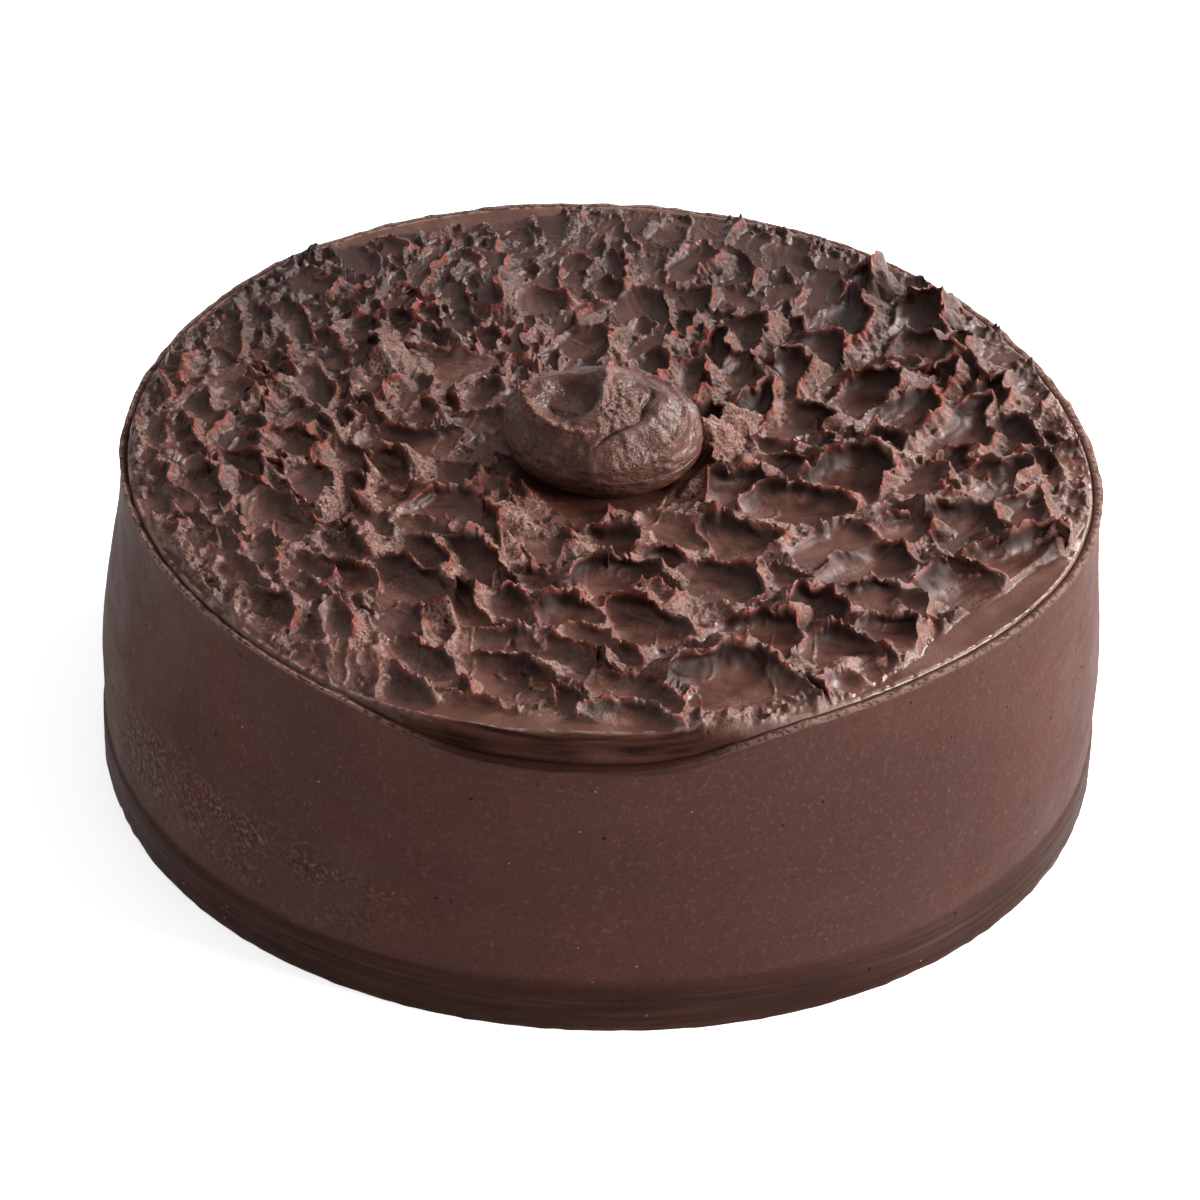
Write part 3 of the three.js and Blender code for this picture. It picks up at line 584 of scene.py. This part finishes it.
def spooned_surface():
    """The worked top on a grid: points, what the surface is made of at each, and where light and shade are
    painted on it. The relief fades to the band at the rim and to the seat under the dollop, and the lips
    are leaned back over their bowls. At the front the surface rolls over to the lowered rim, below a crisp
    line."""
    across, along = disc_grid(TOP_CELLS)
    angle = np.arctan2(along, across)
    border = waved(RIM_RADIUS, RIM_WAVES, angle) - LIP_GAP
    x, y = across * border, along * border
    inset = border - np.hypot(x, y)
    height, torn, edge, recess_shade, curl, out_x, out_y = spooned_relief(x, y)
    wide = band_width(angle)
    band = wide + 0.7 * coarse(x, y, 9) + 0.4 * medium(x, y, 3)
    worked = ease(inset, band, band + 1.5)
    roll = front_dip(angle)
    crumbs = np.clip(0.4 + medium(x, y, 1.9) + 0.6 * small(x, y, 1.0), 0, None)
    crumbs = crumbs * ease(coarse(x, y, 8), -0.5, 0.5) * ease(inset, 0.9, 1.6) * (1 - ease(inset, 4, 9))
    crumbs = crumbs * (1 - ease(wide, 2, 4)) * (1 - roll)
    away = np.hypot(x - DOLLOP_PLACE[0], y - DOLLOP_PLACE[1])
    open_top = ease(away, SEAT_RADIUS, SEAT_RADIUS + SEAT_SLOPE)
    round_rim = RIM_RADIUS * angle
    edge_width = 0.5 + ROLL_WIDTH * roll + (0.15 + 0.25 * roll) * coarse(round_rim, 0 * inset, 17)
    rise = np.clip(inset / edge_width, 0, 1)
    rounded = 1 - (1 - rise) ** 2
    flat = 0.3 + 0.05 * coarse(x, y, 14) + 0.02 * medium(x, y, 5)
    relief = flat + (height - flat) * worked + 0.9 * crumbs
    rolled = roll * (1 - ease(rise, 0.82, 0.98))
    drift = 0.55 * coarse(round_rim, 0 * inset + 4, 21)
    second = ease(inset - drift, 0.9, 1.2)
    streaks = (0.55 * second + 0.22 * small(inset, 0.05 * round_rim, 0.55)) * rolled
    chips = medium(round_rim, inset * 0.2, 1.4)
    line = (0.14 + 0.14 * chips + 0.45 * roll) * bump(inset, edge_width + 0.1, 0.32)
    level = RIM_HEIGHT - 0.32 + 0.22 * roll - DIP * roll * (1 - rounded) + (0.22 + 0.38 * roll) * rounded
    level = level - ROLL_RISE * roll * ease(inset, edge_width, edge_width + 16) + 0.3 * ease(inset, 3, 8)
    level = level + streaks + line
    z = DOLLOP_SEAT + (level + relief * rounded - DOLLOP_SEAT) * open_top
    share = worked * open_top
    z = z + share * torn * (0.20 * coarse(x, y, 0.9) + 0.22 * medium(x, y, 1.6))
    lean = curl * share * (0.42 + 0.25 * small(x, y, 4))
    points = np.stack([x - lean * out_x, y - lean * out_y, z], axis=-1)
    # the ragged pale line inside the rim: crumbs, partly a painted highlight, paler towards the left
    pale = bump(inset, edge_width + 0.1, 0.45) * ease(chips, -0.9, 0.1) * (0.60 - 0.25 * np.cos(angle))
    # how high the relief stands; the finish paints shade in the low places
    high = np.clip(height / 5.0, 0, 1) * share + 0.45 * (1 - share)
    # painted shade on the rounded edge that rolls over at the front
    rolled_shade = rolled * (0.85 + 0.3 * small(inset, 0.05 * round_rim + 7, 0.5))
    sandy = (1 - 0.55 * ease(x, 5, 75)) * share
    # painted shade: darker towards the back, on the left and round the dollop's seat
    dark = (0.68 * ease(y, -5, 80) + 0.34 * (1 - ease(x, -100, -20))) * share + 0.6 * (1 - open_top)
    torn = np.clip(torn * share + crumbs, 0, 1)
    looks = {"sandy": sandy, "dark": dark, "edge": edge * share, "torn": torn, "rolled_shade": rolled_shade, "high": high,
             "recess_shade": recess_shade * share, "pale": pale}
    return points, looks


def spooned_quarter(name, points, looks):
    """One quarter of the worked top as a closed mesh: its part of the grid, a wall down from its border and
    a flat underside. The border is kept sharp, so that the wall doesn't turn the shading of the top. The
    part that rolls over the rim takes the second, duller finish."""
    rows, columns = points.shape[:2]
    corner = np.arange(rows * columns).reshape(rows, columns)
    quads = np.stack([corner[:-1, :-1], corner[:-1, 1:], corner[1:, 1:], corner[1:, :-1]], axis=-1)
    quads = quads.reshape(-1, 4)
    rim = np.concatenate([corner[0, :-1], corner[:-1, -1], corner[-1, :0:-1], corner[:0:-1, 0]])
    under = rows * columns + np.arange(len(rim))
    walls = np.stack([rim, under, np.roll(under, -1), np.roll(rim, -1)], axis=-1)
    points = points.reshape(-1, 3)
    below = points[rim] * (1, 1, 0) + (0, 0, FROSTING_FLOOR)
    middle = len(points) + len(below)
    floor = np.stack([np.full(len(rim), middle), np.roll(under, -1), under], axis=-1)
    points = np.vstack([points, below, below.mean(axis=0)]) * MM
    corners = np.concatenate([quads.ravel(), walls.ravel(), floor.ravel()]).astype(np.int32)
    sizes = np.repeat([4, 4, 3], [len(quads), len(walls), len(floor)])
    mesh = bpy.data.meshes.new(name)
    mesh.vertices.add(len(points))
    mesh.vertices.foreach_set("co", points.astype(np.float32).ravel())
    mesh.loops.add(len(corners))
    mesh.loops.foreach_set("vertex_index", corners)
    mesh.polygons.add(len(sizes))
    mesh.polygons.foreach_set("loop_start", (np.cumsum(sizes) - sizes).astype(np.int32))
    mesh.update(calc_edges=True)
    mesh.polygons.foreach_set("use_smooth", np.ones(len(sizes), dtype=bool))
    finish = np.zeros(len(sizes), dtype=np.int32)
    finish[:len(quads)] = looks["rolled_shade"].ravel()[quads].mean(axis=1) > ROLLED_FROM
    mesh.polygons.foreach_set("material_index", finish)
    ends = np.empty(2 * len(mesh.edges), dtype=np.int32)
    mesh.edges.foreach_get("vertices", ends)
    at_rim = np.isin(ends, rim).reshape(-1, 2).all(axis=1)
    mesh.attributes.new("sharp_edge", "BOOLEAN", "EDGE").data.foreach_set("value", at_rim)
    add_looks(mesh, looks)
    return mesh


def spooned_ganache(name, shine):
    """Ganache worked with a spoon: darker and satin in the bowls, paler and grainy where it is torn, rust
    red painted light along the thin edges, where light comes through, a ragged pale line inside the rim
    partly painted as a highlight, painted shade in low places, under the lips, in pores, towards the back
    and left and round the dollop, and dark with painted shade and streaked where it rolls over."""
    ganache = Finish(name, Specular_IOR_Level=shine)
    torn = ganache.attribute("torn")
    grain = ganache.noise(760, 5, 0.65)
    mottle = ganache.noise(85, 5, 0.65)
    sandy = ganache.attribute("sandy")
    clouded = ganache.between(mottle, 0.42, 0.60)
    lighter = ganache.sum("MULTIPLY", clouded, ganache.between(sandy, 0, 1, 0.25, 1.0))
    bowl = ganache.blend(lighter, BOWL_PLAIN, BOWL_LIGHT)
    sand = ganache.noise(1500, 3, 0.65)
    ruddy = ganache.blend(ganache.between(mottle, 0.40, 0.62), *TORN_RUDDY)
    plain = ganache.blend(clouded, *TORN_PLAIN)
    slope = ganache.blend(ganache.between(sand, 0.41, 0.60), ruddy, TORN_SAND)
    slope = ganache.blend(sandy, plain, slope)
    patchy = ganache.between(ganache.noise(60, 3), 0.46, 0.60, 0, 0.42)
    rough = ganache.sum("MAXIMUM", torn, patchy)
    colour = ganache.blend(rough, bowl, slope)
    # painted shade in the low places of the relief
    low = ganache.between(ganache.attribute("high"), 0.0, 0.4, 0.22, 0.0)
    colour = ganache.blend(low, colour, LOW_PLACE_SHADE)
    # painted shade towards the back, on the left and round the dollop
    colour = ganache.blend(ganache.attribute("dark"), colour, BACK_LEFT_AND_SEAT_SHADE)
    # painted shade in the recesses under the lips
    recess_shade = ganache.attribute("recess_shade")
    colour = ganache.blend(ganache.sum("MULTIPLY", recess_shade, 0.92), colour, RECESS_SHADE)
    # pores in the torn slopes: a pressed-in bump, and painted shade inside
    cells = ganache.node("ShaderNodeTexVoronoi", Vector=ganache.place, Scale=420.0)
    open_cell = ganache.between(ganache.noise(300, 1), 0.52, 0.58)
    pore = ganache.sum("MULTIPLY", ganache.between(cells.outputs["Distance"], 0.30, 0.14), open_cell)
    pore = ganache.sum("MULTIPLY", pore, torn)
    colour = ganache.blend(pore, colour, PORE_SHADE)
    # rust red painted light shining through the thin edges
    colour = ganache.blend(ganache.attribute("edge"), colour, THIN_EDGE_GLOW)
    # the ragged line inside the rim: pale crumbs, partly a painted highlight
    ragged_line_highlight = ganache.sum("MULTIPLY", ganache.attribute("pale"), ganache.between(grain, 0.36, 0.48))
    colour = ganache.blend(ragged_line_highlight, colour, RAGGED_LINE_HIGHLIGHT)
    # painted shade, streaked, where the top rolls over at the front
    rolled_shade = ganache.attribute("rolled_shade")
    streak = ganache.between(ganache.noise(60, 3, 0.6, (1, 1, 14)), 0.42, 0.58)
    colour = ganache.blend(rolled_shade, colour, ganache.blend(streak, *SHADED_ROLLED_STREAKS))
    ganache.set(ganache.shader.inputs["Base Color"], colour)
    wet = ganache.between(ganache.noise(32, 2), 0.53, 0.62, 0.42, 0.23)
    sheen = ganache.sum("MINIMUM", wet, ganache.between(torn, 0, 1, 0.40, 0.28))
    dull = ganache.sum("MAXIMUM", ganache.sum("MULTIPLY", recess_shade, 0.30), ganache.sum("MULTIPLY", rolled_shade, 0.55))
    ganache.set(ganache.shader.inputs["Roughness"], ganache.sum("ADD", sheen, dull))
    normal = ganache.relief(ganache.noise(420, 3, 0.6), 0.00020, 0.35)
    depth = ganache.between(rough, 0, 1, 0.14, 1.0)
    depth = ganache.sum("MULTIPLY", depth, ganache.between(sandy, 0, 1, 0.5, 1.0))
    normal = ganache.relief(grain, 0.0008, depth, normal)
    normal = ganache.relief(sand, 0.00032, depth, normal)
    ganache.set(ganache.shader.inputs["Normal"], ganache.relief(pore, -0.0006, 1.0, normal))
    return ganache.material


top_points, top_looks = spooned_surface()
near, far = np.s_[:TOP_CELLS // 2 + 1], np.s_[TOP_CELLS // 2:]
ganache_finish = spooned_ganache("spooned_finish", SPOONED_SHINE)
rolled_finish = spooned_ganache("rolled_finish", ROLLED_SHINE)
for label, quarter in (("front_left", (near, near)), ("front_right", (near, far)),
                       ("back_left", (far, near)), ("back_right", (far, far))):
    part = {look: values[quarter] for look, values in top_looks.items()}
    top = new_piece(spooned_quarter("spooned_top_" + label, top_points[quarter], part))
    top.data.materials.append(ganache_finish)
    if (part["rolled_shade"] > ROLLED_FROM).any():
        top.data.materials.append(rolled_finish)
    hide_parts("top_frosting")


# ======================================================================================================
# The dollop: a heaped spoonful of ganache set down in the middle and drawn up to a small tip. The spoon
# left a hollow beside the tip, a rough ridge round the hollow and a fold of smooth skin down the right.
# ======================================================================================================
DOLLOP_RADIUS = 23.0
DOLLOP_EQUATOR = 86.8        # the height where it is widest
DOLLOP_CROWN = 11.6          # from there to the crown, without the marks
DOLLOP_TIP = (0.3, 9.0)      # this and the places below are from the dollop's own middle
TIP_HEIGHT = 2.0
SPINE_HEIGHT = 0.9           # of the thin crest that runs down from the tip
HOLLOW_MIDDLE = (-8.5, -1.0)
HOLLOW_HALF = (8.4, 10.5)
HOLLOW_DEPTH = 2.9
RIDGE_MIDDLE = (-4.0, 1.5)   # the ridge is an arc round this place
RIDGE_RADIUS = 13.4
RIDGE_HEIGHT = 1.35
FOLD_RADIUS = 18.9           # of the raised edge down the right
FOLD_EDGE_HEIGHT = 0.8
FOLD_HEIGHT = 0.7
GROOVE_DEPTH = 1.1
DOLLOP_STEPS = 420
DOLLOP_RINGS = 190
SKIN_SMOOTH = ((0.048, 0.0180, 0.0120), (0.078, 0.0315, 0.0225))
SKIN_TORN = ((0.046, 0.0160, 0.0105), (0.185, 0.092, 0.070))
SKIN_RECESS_SHADE = (0.030, 0.0085, 0.0050)
SKIN_CRACK_SHADE = (0.018, 0.0056, 0.0036)
SKIN_TIP_GLOW = (0.16, 0.028, 0.013)
SKIN_SHINE = 0.20


def dollop_surface():
    """Rings from the seat up over the crown: a flattened ball, pressed in by the hollow and raised along
    the ridge, the fold and the tip. Each mark is a bell curve across a line drawn in plan, and its height
    is added along the ball's own slope. Also returns where the skin is torn, where it is thin and takes
    painted light coming through, and where it is pressed in and takes painted shade."""
    angle = np.linspace(0, 2 * np.pi, DOLLOP_STEPS, endpoint=False)[None, :]
    share = (np.arange(DOLLOP_RINGS) / DOLLOP_RINGS)[:, None]
    start = math.asin((DOLLOP_SEAT - DOLLOP_EQUATOR) / DOLLOP_CROWN)
    lift = start + (math.pi / 2 - start) * share
    reach = DOLLOP_RADIUS * np.cos(lift) * (1 + 0.03 * np.cos(2 * angle + 0.6))
    x, y = reach * np.cos(angle), reach * np.sin(angle)
    upper = ease(np.sin(lift), 0.05, 0.45)
    lower = 1 - ease(np.sin(lift), 0.25, 0.55)
    wobble = 0.5 * coarse(x + 40, y, 7)
    # the hollow left of the tip, with a sharp right edge that runs down from the tip
    cut = x + 1.0 - 0.08 * (y + 5) - 0.3 * medium(x, y, 2)
    oval = np.hypot((x - HOLLOW_MIDDLE[0]) / HOLLOW_HALF[0], (y - HOLLOW_MIDDLE[1]) / HOLLOW_HALF[1])
    hollow = (1 - ease(oval, 0.62, 1.02)) * (1 - ease(cut, -1.6, 0.3))
    # the rough ridge round the hollow's left and front
    across, along = x - RIDGE_MIDDLE[0], y - RIDGE_MIDDLE[1]
    round_hollow = np.arctan2(along, across)
    arc = RIDGE_RADIUS + 1.6 * turn_from(round_hollow, math.radians(195))
    on_arc = ease(np.cos(round_hollow - math.radians(200)), 0.05, 0.5)
    ridge = bump(np.hypot(across, along) + wobble, arc, 1.0) * on_arc
    # the fold of smooth skin down the right, between a groove and a raised edge
    fold_reach = np.hypot(x, y + 3)
    fold_turn = np.arctan2(y + 3, x)
    right = ease(np.cos(fold_turn + math.radians(8)), -0.05, 0.35)
    rim = bump(fold_reach + 0.5 * wobble, FOLD_RADIUS, 0.8) * right
    groove_line = 10.6 - 0.045 * (y + 1.5) ** 2 + 0.8 * np.sin(0.5 * y)
    in_groove = ease(y, -19, -15) * (1 - ease(y, 1, 5))
    groove = bump(x + wobble, groove_line, 0.55) * in_groove
    fold = bump(x, groove_line + 2.6, 2.2) * in_groove * (fold_reach < FOLD_RADIUS)
    # the wrinkled skin before the tip, the tip with its thin crest, and a crumbled patch at the front
    wrinkled = ease(x, -2.5, 0.5) * (1 - ease(x, groove_line - 1.5, groove_line)) * (1 - ease(y, -1, 4))
    wrinkled = wrinkled * upper
    behind = y - DOLLOP_TIP[1]
    tip = np.hypot(x - DOLLOP_TIP[0] - 0.12 * behind, behind)
    peak = np.exp(-tip / 2.1)
    spine = bump(cut, 0.5, 0.9) * ease(y, -13, -2) * (1 - ease(y, 8, 11))
    crumbled = bump(np.hypot((x - 5.5) / 1.6, y + 17.5 + 0.8 * wobble), 0, 3.2)
    rough = 0.7 * small(x + 9, y, 1.3) + 0.5 * medium(x, y, 0.8)
    raised = (RIDGE_HEIGHT + 0.5 * rough) * ridge + FOLD_EDGE_HEIGHT * rim * (1 + 0.3 * rough)
    raised = raised + FOLD_HEIGHT * fold + TIP_HEIGHT * peak + SPINE_HEIGHT * spine
    raised = raised - HOLLOW_DEPTH * hollow - GROOVE_DEPTH * groove
    raised = (raised + 0.32 * rough * (wrinkled + crumbled)) * upper
    skin = 0.35 * coarse(x, y, 8) + 0.16 * medium(x, y, 3.1) + 0.07 * small(x, y, 1.5)
    creases = 0.16 * small(7 * angle, 0 * angle + lift * 9, 1.0, 44) * lower
    inward = 0.9 * bump(fold_reach, 21.0, 1.2) * right * (lift > 0)
    out = raised + skin * ease(share, 0.02, 0.15) + creases * ease(share, 0.02, 0.1) - inward
    z = DOLLOP_EQUATOR + DOLLOP_CROWN * np.sin(lift) + out * np.sin(np.clip(lift, 0, None) * 0.8 + 0.3)
    reach = reach + out * np.cos(lift) * 0.8 * ease(share, 0.02, 0.15)
    z = np.maximum(z, DOLLOP_SEAT)
    x, y = reach * np.cos(angle) + DOLLOP_PLACE[0], reach * np.sin(angle) + DOLLOP_PLACE[1]
    torn = np.clip(wrinkled + 1.3 * ridge + 0.8 * rim + 1.2 * spine + crumbled, 0, 1) * upper
    # thin: where light shows through the skin, painted in the finish
    thin = np.clip(0.9 * np.exp(-tip / 1.5) + 0.2 * ridge, 0, 1) * upper
    # painted shade in the hollow and the groove
    recess_shade = np.clip(0.8 * hollow + groove, 0, 1) * upper
    return np.stack([x, y, z], axis=-1), {"torn": torn, "edge": thin, "recess_shade": recess_shade}


def dollop_skin():
    """The dollop's ganache: smooth and satin, paler and crumbly where it is torn, with painted shade in the
    hollow, the groove and the cracks, and reddish painted light coming through at the thin tip.
    """
    skin = Finish("dollop_skin", Specular_IOR_Level=SKIN_SHINE)
    torn = skin.attribute("torn")
    mottle = skin.noise(150, 4, 0.6)
    smooth = skin.blend(skin.between(mottle, 0.40, 0.60), *SKIN_SMOOTH)
    grain = skin.noise(1900, 3, 0.6)
    rough = skin.blend(skin.between(grain, 0.40, 0.62), *SKIN_TORN)
    colour = skin.blend(torn, smooth, rough)
    # painted shade in the hollow and the groove
    colour = skin.blend(skin.sum("MULTIPLY", skin.attribute("recess_shade"), 0.7), colour, SKIN_RECESS_SHADE)
    # thin cracks along the folds, with painted shade in them
    folds = skin.noise(85, 5, 0.62, (1, 1, 1.6))
    off_line = skin.sum("ABSOLUTE", skin.sum("SUBTRACT", folds, 0.44), 0.0)
    crack = skin.between(off_line, 0.014, 0.003)
    colour = skin.blend(skin.sum("MULTIPLY", crack, 0.3), colour, SKIN_CRACK_SHADE)
    # red painted light shining through the thin tip
    colour = skin.blend(skin.attribute("edge"), colour, SKIN_TIP_GLOW)
    skin.set(skin.shader.inputs["Base Color"], colour)
    skin.set(skin.shader.inputs["Roughness"], skin.between(torn, 0, 1, 0.37, 0.32))
    wrinkles = skin.noise(300, 4, 0.6, (1, 1, 3.2))
    normal = skin.relief(wrinkles, 0.00040, 0.6)
    normal = skin.relief(folds, 0.0026, 0.8, normal)
    normal = skin.relief(crack, -0.0004, 0.5, normal)
    depth = skin.between(torn, 0, 1, 0.12, 0.9)
    skin.set(skin.shader.inputs["Normal"], skin.relief(grain, 0.0006, depth, normal))
    return skin.material


dollop_points, dollop_looks = dollop_surface()
crown = dollop_points[-1].mean(axis=0)
dollop = new_piece(ring_mesh("drawn_dollop", dollop_points, (*DOLLOP_PLACE, DOLLOP_SEAT), crown))
add_looks(dollop.data, dollop_looks)
dollop.data.materials.append(dollop_skin())
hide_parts("dollop")


# ======================================================================================================
# The studio: a plain pale floor, a bright room, two large soft lights from the back right and the right,
# and a faint one low on the left. The camera looks down on the cake from the front, slightly tilted.
# ======================================================================================================
FLOOR_SIZE = 6.0
FLOOR_GLOW = 0.60            # the card's own light
PANELS = [("back_panel", (1.18, 1.06, 1.05), 0.5, 58), ("right_panel", (1.16, -0.27, 0.54), 0.6, 34),
          ("left_panel", (-1.25, -0.22, 0.20), 0.8, 5.0)]    # place, size, power
PANEL_AIM = Vector((0, 0, 0.05))
CAMERA_DISTANCE = 1.0
CAMERA_ELEVATION = math.radians(35.2)
CAMERA_ROLL = math.radians(2.45)
CAMERA_TARGET = Vector((-0.0002, -0.0013, 0.03932))
CAMERA_DROP = 0.00291
CAMERA_SENSOR = 36
FOCAL_SHARE = 3.462          # focal length over the width of the frame
BRIGHT_SIDE = (0.40, 0.22, 0.89)
ROOM_DIM, ROOM_BRIGHT = 0.075, 0.64


def plain_floor():
    """A wide pale sheet of card that glows a little."""
    mesh = bpy.data.meshes.new("studio_floor")
    half = FLOOR_SIZE / 2
    corners = [(-half, -half, 0), (half, -half, 0), (half, half, 0), (-half, half, 0)]
    mesh.from_pydata(corners, [], [(0, 1, 2, 3)])
    floor = bpy.data.objects.new("studio_floor", mesh)
    bpy.context.scene.collection.objects.link(floor)
    card = Finish("pale_card", Roughness=0.7, Base_Color=(0.90, 0.90, 0.90, 1),
                  Emission_Color=(1, 1, 1, 1), Emission_Strength=FLOOR_GLOW)
    mesh.materials.append(card.material)


def soft_light(name, place, size, power):
    """A square light panel aimed at the cake."""
    panel = bpy.data.lights.new(name, "AREA")
    panel.energy = power
    panel.size = size
    light = bpy.data.objects.new(name, panel)
    bpy.context.scene.collection.objects.link(light)
    light.location = place
    light.rotation_euler = (PANEL_AIM - Vector(place)).to_track_quat("-Z", "Y").to_euler()


def studio_camera():
    """The camera from its aim: forwards, right and up are turned together by the roll."""
    forwards = Vector((0, math.cos(CAMERA_ELEVATION), -math.sin(CAMERA_ELEVATION)))
    level = Vector((1, 0, 0))
    upright = level.cross(forwards)
    right = level * math.cos(CAMERA_ROLL) + upright * math.sin(CAMERA_ROLL)
    up = right.cross(forwards)
    place = CAMERA_TARGET - forwards * CAMERA_DISTANCE
    aim = (CAMERA_TARGET - up * CAMERA_DROP - place).normalized()
    side = aim.cross(up).normalized()
    camera = bpy.data.objects.new("studio_camera", bpy.data.cameras.new("studio_camera"))
    bpy.context.scene.collection.objects.link(camera)
    pose = Matrix((side, side.cross(aim), -aim)).transposed().to_4x4()
    pose.translation = place
    camera.matrix_world = pose
    camera.data.sensor_width = CAMERA_SENSOR
    camera.data.lens = CAMERA_SENSOR * FOCAL_SHARE
    bpy.context.scene.camera = camera


def bright_room():
    """White light from all round, dim from the front left and brightest from above and behind on the right:
    the strength follows how far a direction turns towards the bright side."""
    room = bpy.data.worlds.new("bright_room")
    room.use_nodes = True
    tree = room.node_tree
    direction = tree.nodes.new("ShaderNodeTexCoord").outputs["Generated"]
    towards = tree.nodes.new("ShaderNodeVectorMath")
    towards.operation = "DOT_PRODUCT"
    towards.inputs[1].default_value = BRIGHT_SIDE
    tree.links.new(direction, towards.inputs[0])
    strength = tree.nodes.new("ShaderNodeMapRange")
    strength.interpolation_type = "SMOOTHSTEP"
    limits = {"From Min": -0.5, "From Max": 0.9, "To Min": ROOM_DIM, "To Max": ROOM_BRIGHT}
    for socket, value in limits.items():
        strength.inputs[socket].default_value = value
    tree.links.new(towards.outputs["Value"], strength.inputs["Value"])
    tree.links.new(strength.outputs["Result"], tree.nodes["Background"].inputs["Strength"])
    tree.nodes["Background"].inputs["Color"].default_value = (1, 1, 1, 1)
    bpy.context.scene.world = room


plain_floor()
for panel in PANELS:
    soft_light(*panel)
studio_camera()
bright_room()
bpy.context.scene.view_settings.view_transform = "Standard"
